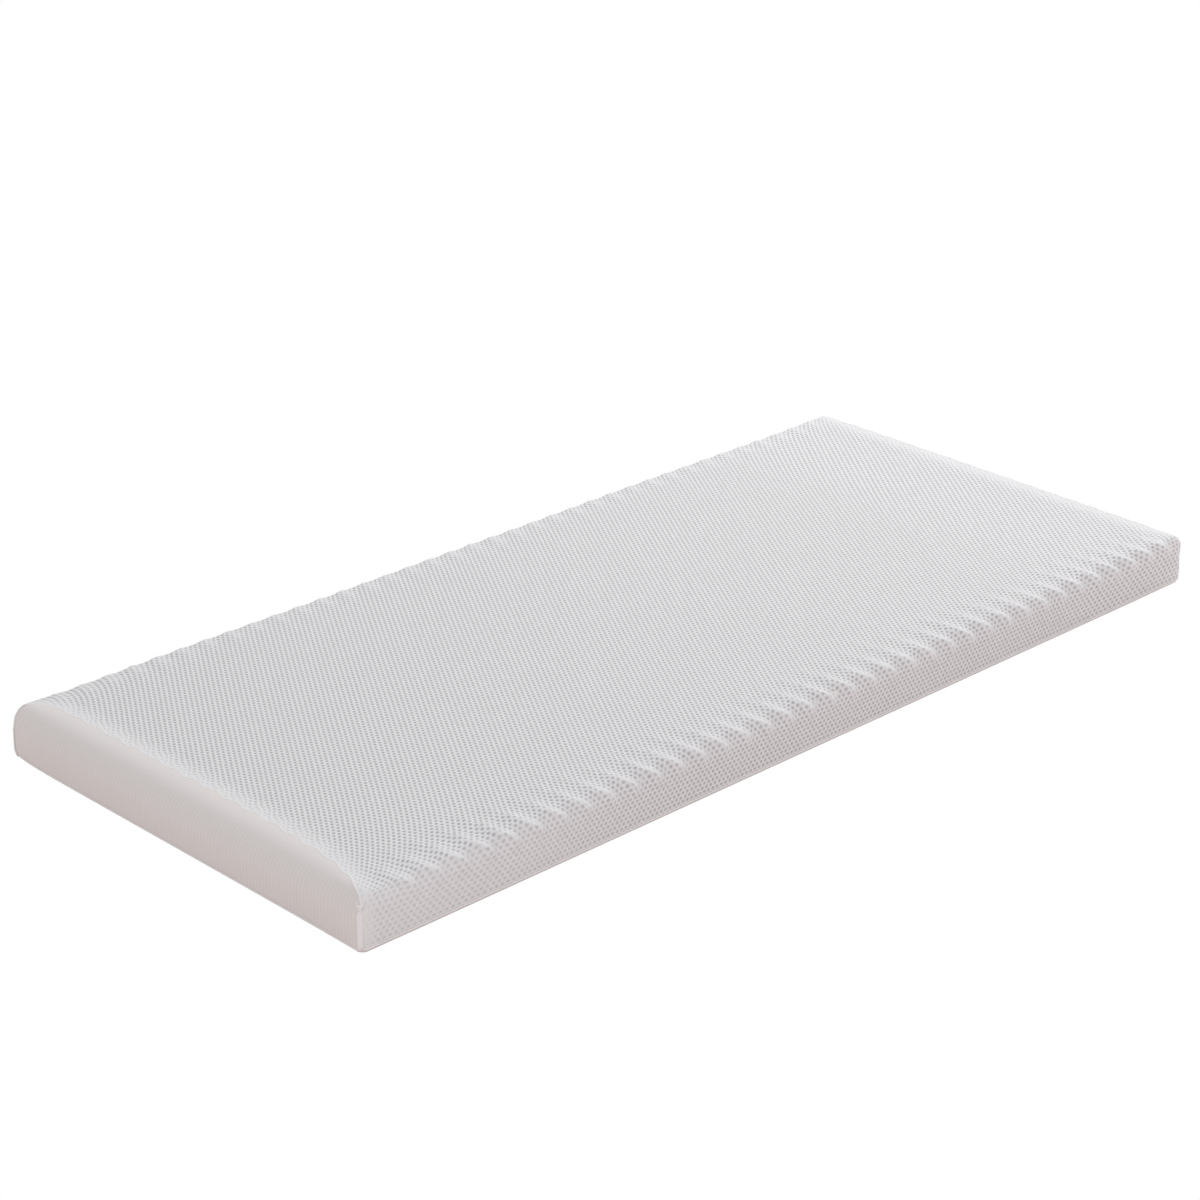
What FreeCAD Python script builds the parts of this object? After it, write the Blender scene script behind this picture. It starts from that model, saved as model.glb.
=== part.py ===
import FreeCAD, Part
import Sketcher
import math
import os

# Memory foam mattress: a two-layer foam core in a liner, inside a sewn, zipped knit cover.
# Frame: X along the length (foot at -X, head and zip at +X), Y across, Z up.
# The origin is the middle of the underside. All sizes are in millimetres.

doc = FreeCAD.newDocument("Mattress")
Vector = FreeCAD.Vector

# ---------------------------------------------------------------- driving dimensions
dimensions = {
    # whole mattress, over the cover
    "mattressLength": 2000,
    "mattressWidth": 900,
    "mattressHeight": 100,
    "cornerRadius": 40,        # rounding of the four upright corners, seen from above
    "edgeRadius": 28,          # rounding of the upper and lower edges
    # cover and liner
    "coverThickness": 2.5,
    "coverEase": 0.3,          # gap between cover and liner, and between liner and foam
    "sleeveThickness": 0.8,
    "seamWidth": 6,
    "seamProud": 1.5,          # how far a seam stands out of the cloth
    "baseSeamHeight": 7,       # lower side of the seam round the base
    # foam core
    "baseFoamHeight": 52,      # thickness of the support foam
    "crateDepth": 14,          # depth of the channels in the convoluted top
    "cratePitch": 48,          # pad to pad
    "channelWidth": 34,        # width of a channel at the top
    # zip across the head end
    "zipMargin": 70,           # from the mattress's side to the end of the coils
    "panelEase": 0.6,          # gap between the slider and the two panels it runs between
    "zipBackRoom": 3.2,        # room behind the tapes for the slider's back plate
    "tapeWidth": 14,
    "tapeThickness": 0.8,
    "coilWidth": 2.6,
    "coilHeight": 2.2,
    "coilGap": 1.4,            # space between the two coil rows, where the slider's bridge runs
    "stopLength": 3,
    "stopProud": 0.4,
    # slider
    "sliderLength": 12,
    "sliderPlate": 1.2,
    "sliderWall": 1.0,
    "sliderEase": 0.3,         # gap between the slider and what it runs on
    "bridgeLength": 3,
    "lugLength": 6,
    "lugWidth": 1.6,
    "lugHeight": 3.2,
    # pull tab
    "pinRadius": 0.6,
    "pinEase": 0.1,
    "tabLength": 24,
    "tabWidth": 7,
    "tabThickness": 1.2,
    "tabArmWidth": 1.4,
    "tabHoleRadius": 1.7,
}

sheet = doc.addObject("Spreadsheet::Sheet", "Dimensions")
for row, (name, value) in enumerate(dimensions.items(), start=1):
    sheet.set(f"A{row}", name)
    sheet.set(f"B{row}", str(value))
    sheet.setAlias(f"B{row}", name)
doc.recompute()

# what fits together is worked out here once, from the driving dimensions
derived = {
    "seamInset": "cornerRadius * (1 - cos(45deg))",    # end seams lie half-way round the corners
    "seamTop": "baseSeamHeight + seamWidth",
    "sleeveInset": "coverThickness + coverEase",
    "foamInset": "coverThickness + 2 * coverEase + sleeveThickness",
    "headFace": "mattressLength / 2",
    "zipLength": "mattressWidth - 2 * zipMargin",
    "zipHeight": "mattressHeight / 2",
    "tapeFace": "headFace - coverThickness + tapeThickness",    # front of the tapes
    "coilFace": "tapeFace + coilHeight",                        # front of the coils
    "coilInner": "coilGap / 2",
    "coilOuter": "coilGap / 2 + coilWidth",
    "plateFace": "coilFace + sliderEase",                       # back of the slider's front plate
    "sliderHalf": "coilGap / 2 + coilWidth + sliderEase + sliderWall",
    "windowHalf": "sliderHalf + panelEase",                     # the opening over the coils
    "sliderStart": "zipLength / 2 - sliderLength / 2 - sliderEase",
    "pinFace": "coilFace + sliderEase + sliderPlate + lugHeight / 2",
}
for row, (name, formula) in enumerate(derived.items(), start=len(dimensions) + 2):
    sheet.set(f"A{row}", name)
    sheet.set(f"B{row}", f"={formula}")
    sheet.setAlias(f"B{row}", name)
doc.recompute()


def size(name):
    # one value from the sheet, as a plain number
    value = getattr(sheet, name)
    return float(getattr(value, "Value", value))


def bind(thing, path, formula):
    # names of the sheet's cells inside a formula get the sheet's prefix
    words = sorted(list(dimensions) + list(derived), key=len, reverse=True)
    for index, word in enumerate(words):
        formula = formula.replace(word, f"<{index}>")
    for index, word in enumerate(words):
        formula = formula.replace(f"<{index}>", f"Dimensions.{word}")
    thing.setExpression(path, formula)


# ---------------------------------------------------------------- building blocks
def originPlane(body, role):
    for feature in body.Origin.OriginFeatures:
        if feature.Role == role:
            return feature
    raise ValueError(role)


def rectangleSketch(body, name, length, width, height):
    # a rectangle centred on the origin, lying level at the given height
    sketch = body.newObject("Sketcher::SketchObject", name)
    sketch.AttachmentSupport = [(originPlane(body, "XY_Plane"), "")]
    sketch.MapMode = "FlatFace"
    bind(sketch, "AttachmentOffset.Base.z", height)
    corners = [Vector(-20, -10, 0), Vector(20, -10, 0), Vector(20, 10, 0), Vector(-20, 10, 0)]
    for start, end in zip(corners, corners[1:] + corners[:1]):
        sketch.addGeometry(Part.LineSegment(start, end), False)
    for edge in range(4):
        sketch.addConstraint(Sketcher.Constraint("Coincident", edge, 2, (edge + 1) % 4, 1))
    for edge, kind in enumerate(("Horizontal", "Vertical", "Horizontal", "Vertical")):
        sketch.addConstraint(Sketcher.Constraint(kind, edge))
    sketch.addConstraint(Sketcher.Constraint("Symmetric", 0, 1, 2, 1, -1, 1))
    across = sketch.addConstraint(Sketcher.Constraint("DistanceX", 0, 1, 0, 2, 40))
    along = sketch.addConstraint(Sketcher.Constraint("DistanceY", 1, 1, 1, 2, 20))
    bind(sketch, f"Constraints[{across}]", length)
    bind(sketch, f"Constraints[{along}]", width)
    return sketch


def edgesWhere(shape, test):
    return [f"Edge{index}" for index, edge in enumerate(shape.Edges, start=1) if test(edge)]


def isUpright(edge):
    box = edge.BoundBox
    return box.ZLength > 1 and box.XLength < 0.01 and box.YLength < 0.01


def isLevel(edge):
    return edge.BoundBox.ZLength < 0.01


def pillowForm(name, inset, headSetback="0"):
    # the mattress's rounded block, smaller all round by inset and shorter at the head by headSetback
    body = doc.addObject("PartDesign::Body", name)
    sketch = rectangleSketch(
        body, name + "Plan",
        f"mattressLength - 2 * ({inset}) - ({headSetback})",
        f"mattressWidth - 2 * ({inset})",
        inset,
    )
    pad = body.newObject("PartDesign::Pad", name + "Block")
    pad.Profile = sketch
    bind(pad, "Length", f"mattressHeight - 2 * ({inset})")
    doc.recompute()
    corners = body.newObject("PartDesign::Fillet", name + "Corners")
    corners.Base = (pad, edgesWhere(pad.Shape, isUpright))
    bind(corners, "Radius", f"cornerRadius - ({inset})")
    doc.recompute()
    rims = body.newObject("PartDesign::Fillet", name + "Rims")
    rims.Base = (corners, edgesWhere(corners.Shape, isLevel))
    bind(rims, "Radius", f"edgeRadius - ({inset})")
    body.Tip = rims
    bind(body, "Placement.Base.x", f"-({headSetback}) / 2")
    doc.recompute()
    return body


def block(name, low, high):
    # a box between two corners, each given as three formulas
    box = doc.addObject("Part::Box", name)
    for side, start, end in zip(("Length", "Width", "Height"), low, high):
        bind(box, side, f"({end}) - ({start})")
    for axis, start in zip("xyz", low):
        bind(box, f"Placement.Base.{axis}", start)
    return box


def cut(name, base, tool):
    feature = doc.addObject("Part::Cut", name)
    feature.Base = base
    feature.Tool = tool
    return feature


def common(name, first, second):
    feature = doc.addObject("Part::Common", name)
    feature.Base = first
    feature.Tool = second
    return feature


def fuse(name, pieces):
    feature = doc.addObject("Part::MultiFuse", name)
    feature.Shapes = pieces
    feature.Refine = True
    return feature


nodes = []


def node(feature, name):
    # a finished sub-part: its label is the name of its file
    feature.Label = name
    nodes.append(feature)
    return feature


beyond = "(mattressLength)"    # further out than any piece reaches
wide = "(mattressWidth)"
tall = "(2 * mattressHeight)"

# ---------------------------------------------------------------- cover
coverOuter = pillowForm("CoverOuter", "0")
coverInner = pillowForm("CoverInner", "coverThickness")
seamOuter = pillowForm("SeamOuter", "-seamProud")
coverShell = cut("CoverShell", coverOuter, coverInner)
seamShell = cut("SeamShell", seamOuter, coverInner)

footSeamOut = "-headFace + seamInset - seamWidth / 2"
footSeamIn = "-headFace + seamInset + seamWidth / 2"
headSeamIn = "headFace - seamInset - seamWidth / 2"
headSeamOut = "headFace - seamInset + seamWidth / 2"


def zone(name, left, right, bottom, top):
    return block(name, (left, f"-{wide}", bottom), (right, wide, top))


node(common("MeshCover", coverShell, zone("MeshZone", footSeamIn, headSeamIn, "seamTop", tall)),
     "mesh_cover")
node(common("FootPanel", coverShell, zone("FootZone", f"-{beyond}", footSeamOut, "seamTop", tall)),
     "foot_end_panel")
node(common("BasePanel", coverShell,
            zone("BaseZone", f"-{beyond}", beyond, "-mattressHeight", "baseSeamHeight")),
     "base_panel")
node(common("FootSeam", seamShell, zone("FootSeamZone", footSeamOut, footSeamIn, "seamTop", tall)),
     "foot_seam")
node(common("HeadSeam", seamShell, zone("HeadSeamZone", headSeamIn, headSeamOut, "seamTop", tall)),
     "head_seam")
node(common("BaseSeam", seamShell,
            zone("BaseSeamZone", f"-{beyond}", beyond, "baseSeamHeight", "seamTop")),
     "base_seam")

# The head end is two panels. They leave a window for the zip and are sewn edge to edge beyond it.
headPanel = common("HeadPanel", coverShell, zone("HeadZone", headSeamOut, beyond, "seamTop", tall))
windowReach = "zipLength / 2 + stopLength + sliderEase"
windowBox = block(
    "WindowBox",
    ("headFace - 2 * coverThickness", f"-({windowReach})", "zipHeight - windowHalf"),
    ("headFace + coverThickness", windowReach, "zipHeight + windowHalf"),
)
tapeReach = "coilGap / 2 + tapeWidth"
tapeRebate = block(
    "TapeRebate",
    ("headFace - 2 * coverThickness", f"-({windowReach})", f"zipHeight - ({tapeReach})"),
    ("tapeFace", windowReach, f"zipHeight + {tapeReach}"),
)
headOpened = cut("HeadOpened", headPanel, fuse("ZipRoom", [windowBox, tapeRebate]))
node(common("HeadUpper", headOpened, zone("UpperZone", "0", beyond, "zipHeight", tall)),
     "head_panel_upper")
node(common("HeadLower", headOpened, zone("LowerZone", "0", beyond, "0", "zipHeight")),
     "head_panel_lower")

# ---------------------------------------------------------------- liner and foam
sleeveOuter = pillowForm("SleeveOuter", "sleeveInset", "zipBackRoom")
sleeveInner = pillowForm("SleeveInner", "sleeveInset + sleeveThickness", "zipBackRoom")
node(cut("CoreSleeve", sleeveOuter, sleeveInner), "core_sleeve")

foamJoint = "foamInset + baseFoamHeight"
baseForm = pillowForm("BaseForm", "foamInset", "zipBackRoom")
node(common("BaseFoam", baseForm, zone("BaseFoamZone", f"-{beyond}", beyond, "0", foamJoint)),
     "base_foam_layer")

# The convoluted top is cut by round-bottomed channels that cross, which leaves rows of pads.
channelRadius = "((channelWidth / 2)^2 + crateDepth^2) / (2 * crateDepth)"
channelAxis = f"mattressHeight - foamInset - crateDepth + {channelRadius}"


def channelSketch(body, name, role, place):
    # the end view of the outermost channel: a circle whose lowest point is a valley of the foam
    sketch = body.newObject("Sketcher::SketchObject", name)
    sketch.AttachmentSupport = [(originPlane(body, role), "")]
    sketch.MapMode = "FlatFace"
    sketch.addGeometry(Part.Circle(Vector(10, 10, 0), Vector(0, 0, 1), 5), False)
    radius = sketch.addConstraint(Sketcher.Constraint("Radius", 0, 5))
    along = sketch.addConstraint(Sketcher.Constraint("DistanceX", -1, 1, 0, 3, 10))
    upward = sketch.addConstraint(Sketcher.Constraint("DistanceY", -1, 1, 0, 3, 10))
    bind(sketch, f"Constraints[{radius}]", channelRadius)
    bind(sketch, f"Constraints[{along}]", place)
    bind(sketch, f"Constraints[{upward}]", channelAxis)
    return sketch


def addChannels(body, name, role, span):
    # one channel through the foam, repeated at the crate's pitch across the flat of its top
    flat = size(span) - 2 * size("edgeRadius") - size("channelWidth")
    gaps = math.floor(flat / size("cratePitch"))
    sketch = channelSketch(body, name + "Profile", role, f"{gaps} / 2 * cratePitch")
    channel = body.newObject("PartDesign::Pocket", name)
    channel.Profile = sketch
    channel.Type = "ThroughAll"
    channel.Midplane = True
    channel.Refine = False
    row = body.newObject("PartDesign::LinearPattern", name + "Row")
    row.Originals = [channel]
    row.Direction = (sketch, ["H_Axis"])
    row.Reversed = True
    row.Refine = False
    bind(row, "Length", f"{gaps} * cratePitch")
    row.Occurrences = gaps + 1
    body.Tip = row
    doc.recompute()


memoryForm = pillowForm("MemoryForm", "foamInset", "zipBackRoom")
addChannels(memoryForm, "LongChannel", "YZ_Plane", "mattressWidth")
addChannels(memoryForm, "CrossChannel", "XZ_Plane", "mattressLength")
node(common("MemoryFoam", memoryForm, zone("MemoryFoamZone", f"-{beyond}", beyond, foamJoint, tall)),
     "memory_foam_layer")

# ---------------------------------------------------------------- zip
halfZip = "zipLength / 2"


def zipHalf(part, name, low, high, near, far):
    # the same bar above and below the zip's middle line, as two sub-parts
    node(block(part + "Upper", (low, f"-({halfZip})", f"zipHeight + {near}"),
               (high, halfZip, f"zipHeight + {far}")), name + "_upper")
    node(block(part + "Lower", (low, f"-({halfZip})", f"zipHeight - ({far})"),
               (high, halfZip, f"zipHeight - {near}")), name + "_lower")


zipHalf("Tape", "zip_tape", "headFace - coverThickness", "tapeFace", "coilInner", tapeReach)
zipHalf("Coil", "zip_coil", "tapeFace", "coilFace", "coilInner", "coilOuter")


def coilStop(part, name, start, end):
    node(block(part, ("tapeFace", start, "zipHeight - coilOuter - stopProud"),
               ("coilFace + stopProud", end, "zipHeight + coilOuter + stopProud")), name)


coilStop("ClosedStop", "zip_closed_stop", halfZip, f"{halfZip} + stopLength")
coilStop("OpenStop", "zip_open_stop", f"-({halfZip}) - stopLength", f"-({halfZip})")

# The slider: a front and a back plate joined by a bridge between the coils, with side walls
# that stop short of the tapes, and a lug on the front that holds the pull tab's pin.
frontFace = "plateFace + sliderPlate"
backFace = "headFace - coverThickness - sliderEase"
lowY = "sliderStart - sliderLength / 2"
highY = "sliderStart + sliderLength / 2"
frontPlate = block("SliderFront", ("plateFace", lowY, "zipHeight - sliderHalf"),
                   (frontFace, highY, "zipHeight + sliderHalf"))
backPlate = block("SliderBack", (f"{backFace} - sliderPlate", lowY, "zipHeight - sliderHalf"),
                  (backFace, highY, "zipHeight + sliderHalf"))
bridgeHalf = "(coilInner - sliderEase)"
bridge = block("SliderBridge", (f"{backFace} - sliderPlate", f"{highY} - bridgeLength",
                                f"zipHeight - {bridgeHalf}"),
               (frontFace, highY, f"zipHeight + {bridgeHalf}"))
wallNear = "(coilOuter + sliderEase)"
wallUpper = block("SliderWallUpper", ("tapeFace + sliderEase", lowY, f"zipHeight + {wallNear}"),
                  (frontFace, highY, "zipHeight + sliderHalf"))
wallLower = block("SliderWallLower", ("tapeFace + sliderEase", lowY, "zipHeight - sliderHalf"),
                  (frontFace, highY, f"zipHeight - {wallNear}"))
lug = block("SliderLug", (frontFace, "sliderStart - lugLength / 2", "zipHeight - lugWidth / 2"),
            (f"{frontFace} + lugHeight", "sliderStart + lugLength / 2", "zipHeight + lugWidth / 2"))


def pinCylinder(name, radius, halfLength):
    # an upright cylinder on the pull tab's turning line
    pin = doc.addObject("Part::Cylinder", name)
    bind(pin, "Radius", radius)
    bind(pin, "Height", f"2 * ({halfLength})")
    bind(pin, "Placement.Base.x", "pinFace")
    bind(pin, "Placement.Base.y", "sliderStart")
    bind(pin, "Placement.Base.z", f"zipHeight - ({halfLength})")
    return pin


sliderBlank = fuse("SliderBlank", [frontPlate, backPlate, bridge, wallUpper, wallLower, lug])
pinHole = pinCylinder("PinHole", "pinRadius + pinEase", "lugWidth")
node(cut("Slider", sliderBlank, pinHole), "zip_slider")

# The pull tab lies along the closed zip at rest. Two arms straddle the lug and carry the pin.
tabFront = "pinFace + tabThickness / 2"
tabBack = "pinFace - tabThickness / 2"
armNear = "(lugWidth / 2 + sliderEase)"
slotEnd = "sliderStart - lugLength / 2 - sliderEase - tabThickness"
tabPlate = block("TabPlate", (tabBack, "sliderStart - tabLength", "zipHeight - tabWidth / 2"),
                 (tabFront, slotEnd, "zipHeight + tabWidth / 2"))
tabHole = doc.addObject("Part::Cylinder", "TabHole")
bind(tabHole, "Radius", "tabHoleRadius")
bind(tabHole, "Height", "2 * tabThickness")
tabHole.Placement.Rotation = FreeCAD.Rotation(Vector(0, 1, 0), 90)
bind(tabHole, "Placement.Base.x", "pinFace - tabThickness")
bind(tabHole, "Placement.Base.y", "sliderStart - tabLength + tabWidth / 2")
bind(tabHole, "Placement.Base.z", "zipHeight")
armUpper = block("TabArmUpper", (tabBack, slotEnd, f"zipHeight + {armNear}"),
                 (tabFront, "sliderStart + pinRadius", f"zipHeight + {armNear} + tabArmWidth"))
armLower = block("TabArmLower", (tabBack, slotEnd, f"zipHeight - {armNear} - tabArmWidth"),
                 (tabFront, "sliderStart + pinRadius", f"zipHeight - {armNear}"))
pin = pinCylinder("TabPin", "pinRadius", f"{armNear} + tabArmWidth / 2")
tabBlank = fuse("TabBlank", [tabPlate, armUpper, armLower, pin])
node(cut("PullTab", tabBlank, tabHole), "zip_pull_tab")

# ---------------------------------------------------------------- check and write
doc.recompute()
for thing in doc.Objects:
    if "Invalid" in thing.State or "Error" in thing.State:
        raise RuntimeError(f"{thing.Name} failed: {thing.State}")
for feature in nodes:
    if feature.Shape.isNull() or not feature.Shape.isValid() or not feature.Shape.Solids:
        raise RuntimeError(f"{feature.Label} has no sound solid")

os.makedirs("parts", exist_ok=True)
for feature in nodes:
    feature.Shape.exportStep(f"parts/{feature.Label}.step")
    print(feature.Label, len(feature.Shape.Solids), "solid", round(feature.Shape.Volume), "mm3")
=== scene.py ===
import math

import bpy
import numpy as np
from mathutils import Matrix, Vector


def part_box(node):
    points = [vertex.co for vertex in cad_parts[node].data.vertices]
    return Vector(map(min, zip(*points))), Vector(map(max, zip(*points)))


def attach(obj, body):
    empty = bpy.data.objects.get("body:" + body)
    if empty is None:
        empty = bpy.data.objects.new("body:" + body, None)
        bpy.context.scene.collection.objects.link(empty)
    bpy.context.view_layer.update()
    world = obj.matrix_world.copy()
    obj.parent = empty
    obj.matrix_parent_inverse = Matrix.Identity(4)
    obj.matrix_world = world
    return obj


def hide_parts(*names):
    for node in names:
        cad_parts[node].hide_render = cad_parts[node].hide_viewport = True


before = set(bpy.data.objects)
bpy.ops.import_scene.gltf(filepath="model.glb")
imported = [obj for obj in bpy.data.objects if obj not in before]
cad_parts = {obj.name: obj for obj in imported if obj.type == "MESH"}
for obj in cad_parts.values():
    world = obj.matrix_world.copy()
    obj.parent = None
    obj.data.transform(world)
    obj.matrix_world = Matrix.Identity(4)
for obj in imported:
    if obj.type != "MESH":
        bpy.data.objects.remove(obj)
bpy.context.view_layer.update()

# Memory foam mattress: a convoluted foam core in a knitted liner, inside a sewn and zipped cover.
# Foot at -X, head and zip at +X, the base on z = 0. Everything is in metres.
# Each piece of the cover lies on one rounded form. A place on it is first a place on a sharp-cornered
# box of the mattress's size, and roundedPoint() then brings it onto the pillow-like form.
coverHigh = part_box("mesh_cover")[1]
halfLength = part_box("head_panel_upper")[1].x
halfWidth = coverHigh.y
height = coverHigh.z
zipHeight = height / 2
tiny = 1e-9                     # keeps a division off zero

form = {
    "nearReach": 0.022,         # rounding of the near long upper edge: across, then down
    "nearDrop": 0.028,
    "farReach": 0.022,          # and of the far one, which stands squarer
    "farDrop": 0.020,
    "sideBelow": 0.013,
    "footReach": 0.050,         # the foot is nearly half-round
    "footDrop": 0.047,
    "footBelow": 0.019,
    "headReach": 0.024,         # the head is squarer
    "headDrop": 0.023,
    "headBelow": 0.016,
    "cornerReach": 0.012,       # the upright corners, seen from above
    "pinchReach": 0.015,        # the near foot corner, which its seam pulls sharp
    "pinchDrop": 0.034,
    "pinchSpread": 0.075,       # how far along the foot that pull is felt
    "tuckReach": 0.020,         # the far foot corner
    "tuckSpread": 0.030,
    "tuckBelow": 0.016,         # how much rounder it is below
    "endFade": (0.03, 0.16),    # from the ends' rounding to the long edges' own
    "flatFrom": 0.034,          # between these heights the ends are upright
    "flatTo": 0.053,
    "nearSag": 0.002,           # how far the top sinks at the head's two corners
    "farSag": 0.002,
    "sagFrom": 0.02,            # how far from a corner that begins to die out, and where it ends
    "sagReach": 0.11,
    "sagHeights": (0.06, 0.095),
    "padsFrom": 0.02,           # the pads show fully from this height up
    "baseSeam": 0.010,          # height of the seam round the base
}


def fade(value, start, end):
    t = np.clip((value - start) / (end - start), 0, 1)
    return t * t * (3 - 2 * t)


def mix(a, b, share):
    return a + (b - a) * share


def reaches(x, y, z):
    # radii of the rounding at a place on the sharp box: along, across, down from the top, up from the base
    isHead = x > 0
    sideReach = np.where(y < 0, form["nearReach"], form["farReach"])
    sideDrop = np.where(y < 0, form["nearDrop"], form["farDrop"])
    pinch = np.where(isHead, 0, np.exp(-(halfWidth + y) / form["pinchSpread"]))
    tuck = np.where(isHead, 0, np.exp(-(halfWidth - y) / form["tuckSpread"]))
    nearEnd = 1 - fade(halfLength - np.abs(x), *form["endFade"])
    upper = fade(z, form["flatFrom"], form["flatTo"])
    footTop = mix(mix(form["footReach"], form["pinchReach"], pinch), form["tuckReach"], tuck)
    footLow = mix(form["footBelow"], form["pinchReach"], pinch) + form["tuckBelow"] * tuck
    endBelow = np.where(isHead, form["headBelow"], footLow)
    along = mix(endBelow, np.where(isHead, form["headReach"], footTop), upper)
    across = mix(mix(form["sideBelow"], sideReach, upper), form["cornerReach"], nearEnd)
    endDrop = np.where(isHead, form["headDrop"], mix(form["footDrop"], form["pinchDrop"], pinch))
    return along, across, mix(sideDrop, endDrop, nearEnd), mix(form["sideBelow"], endBelow, nearEnd)


def roundedPoint(x, y, z):
    # places and outward normals on the rounded form for places on the sharp box
    along, across, dropTop, dropBelow = reaches(x, y, z)
    coreX = np.clip(x, along - halfLength, halfLength - along)
    coreY = np.clip(y, across - halfWidth, halfWidth - across)
    coreZ = np.clip(z, dropBelow, height - dropTop)
    up = np.where(z > coreZ, dropTop, dropBelow)
    radii = np.stack([along, across, up], -1)
    core = np.stack([coreX, coreY, coreZ], -1)
    way = (np.stack([x, y, z], -1) - core) / radii
    way /= np.maximum(np.linalg.norm(way, axis=-1, keepdims=True), tiny)
    normal = way / radii
    normal /= np.maximum(np.linalg.norm(normal, axis=-1, keepdims=True), tiny)
    place = core + way * radii
    fromCorner = np.hypot(halfLength - x, halfWidth - np.abs(y))
    sag = np.where(y < 0, form["nearSag"], form["farSag"])
    sag = sag * (1 - fade(fromCorner, form["sagFrom"], form["sagReach"]))
    place[..., 2] -= sag * fade(z, *form["sagHeights"])
    return place, normal


pads = {
    "pitch": 0.0512,            # the foam's pads, as they show through the cover along an edge
    "first": 0.0463,            # where one of them lies
    "crestTop": 0.006,          # how far along its crest lies on the top, and how far it turns over the edge
    "crestTurn": 0.026,
    "turnReach": 0.026,
    "sharpness": 1.0,
    "level": 0.40,              # the mean of a crest, taken off so that the pads don't thicken the cover
    "overEdge": 1.9,            # how much further it stands out on the edge than on the top
    "overEdgeFade": (-0.004, 0.016),
    "lowest": -0.046,           # how far down the side, and in over the top, its crest runs
    "innerFrom": 0.040,
    "innerTo": 0.060,
    "secondCrest": -0.002,      # the second row of pads, further in
    "secondShare": 0.5,
    "secondFrom": (0.048, 0.062),
    "secondTo": (0.074, 0.096),
    "uneven": (0.92, 0.14, 0.08),       # how high the pads are, and how much that changes from pad to pad
    "unevenTurns": (17.0, 1.3, 41.0),
    "nearHeight": 0.0068,
    "farHeight": 0.0021,
    "headHeight": 0.0009,
    "footHeight": 0.0004,
    "middleHeight": 0.0002,
    "endCalm": 0.75,            # how much lower a long edge's pads are at its ends
    "endFade": (0.04, 0.11),
    "sideFade": (0.05, 0.12),
    "middleFade": (0.06, 0.12),
    "topFrom": 0.03,
    "crown": 0.0012,            # how much higher the middle of the top stands
    "sway": 0.0005,             # the slow unevenness of the top: its height, then its waves
    "swayAlong": (5.1, 2.0),
    "swayAcross": (8.3, 0.7),
    "swaySlant": (11.7, 6.0, 0.6),
}
padStep = 2 * math.pi / pads["pitch"]


def crestPlace(inward):
    turned = fade(-inward, -pads["turnReach"], pads["turnReach"])
    return pads["first"] + pads["crestTop"] + pads["crestTurn"] * turned


def swell(offset, sharpness):
    # a repeating crest, 1 at its top, with a broader hollow between
    return np.exp(sharpness * (np.cos(padStep * offset) - 1))


def padRow(place, inward):
    # the pads' crests near an edge; inward is the distance in from it, and less than 0 down the side
    main = fade(inward, pads["lowest"], 0) * (1 - fade(inward, pads["innerFrom"], pads["innerTo"]))
    main = main * mix(pads["overEdge"], 1, fade(inward, *pads["overEdgeFade"]))
    inner = pads["secondShare"] * fade(inward, *pads["secondFrom"]) * (1 - fade(inward, *pads["secondTo"]))
    mean, slowShare, quickShare = pads["uneven"]
    slow, phase, quick = pads["unevenTurns"]
    uneven = mean + slowShare * np.sin(place * slow + phase) + quickShare * np.sin(place * quick)
    crests = main * (swell(place - crestPlace(inward), pads["sharpness"]) - pads["level"])
    fromSecond = place - pads["first"] - pads["secondCrest"]
    second = inner * (swell(fromSecond, pads["sharpness"]) - pads["level"])
    return uneven * (crests + second)


def relief(x, y, z):
    # how far the cover stands out from the rounded form
    below = height - z
    fromSide = halfWidth - np.abs(y) - below
    fromEnd = halfLength - np.abs(x) - below
    onTop = fade(z, pads["topFrom"], height)
    nearEnd = 1 - fade(halfLength - np.abs(x), *pads["endFade"])
    nearSide = 1 - fade(halfWidth - np.abs(y), *pads["sideFade"])
    sideHeight = np.where(y < 0, pads["nearHeight"], pads["farHeight"])
    out = sideHeight * padRow(x, fromSide) * (1 - pads["endCalm"] * nearEnd)
    endHeight = np.where(x > 0, pads["headHeight"], pads["footHeight"])
    out = out + endHeight * padRow(y, fromEnd) * (1 - nearSide)
    inside = fade(np.minimum(fromSide, fromEnd), *pads["middleFade"])
    out = out + pads["middleHeight"] * inside * np.cos(padStep * x) * np.cos(padStep * y)
    out = out + pads["crown"] * onTop * (1 - (y / halfWidth) ** 2) * (1 - (x / halfLength) ** 4)
    along, alongPhase = pads["swayAlong"]
    across, acrossPhase = pads["swayAcross"]
    slantX, slantY, slantShare = pads["swaySlant"]
    slow = np.sin(along * x + alongPhase) * np.sin(across * y + acrossPhase)
    slow = slow + slantShare * np.sin(slantX * x + slantY * y)
    return out + pads["sway"] * onTop * slow


tightAndHighlightLook = {
    "edgeFrom": (-0.042, -0.012),       # how far in from a long edge the pads' shoulders are tight, their closed holes also a painted highlight
    "edgeTo": (0.036, 0.058),
    "topShare": 0.4,                    # less so on the top than on the edge
    "topFade": (0.008, 0.022),
    "footFade": (0.93, 0.98),           # and not at all by the foot
    "shoulderHighlight": 0.009,                  # where that is, along from the crest of a pad: on its lit side, so that the holes closed there are a painted highlight as well as tight knit
    "sharpness": 1.3,
    "cornerAlong": (0.012, 0.06),
    "cornerAcross": (0.01, 0.06),
    "sideShare": 0.6,                   # the near side is drawn tighter towards the foot
    "sideAlong": (0.05, 0.8),
    "sideAcross": (0.002, 0.02),
}


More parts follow.
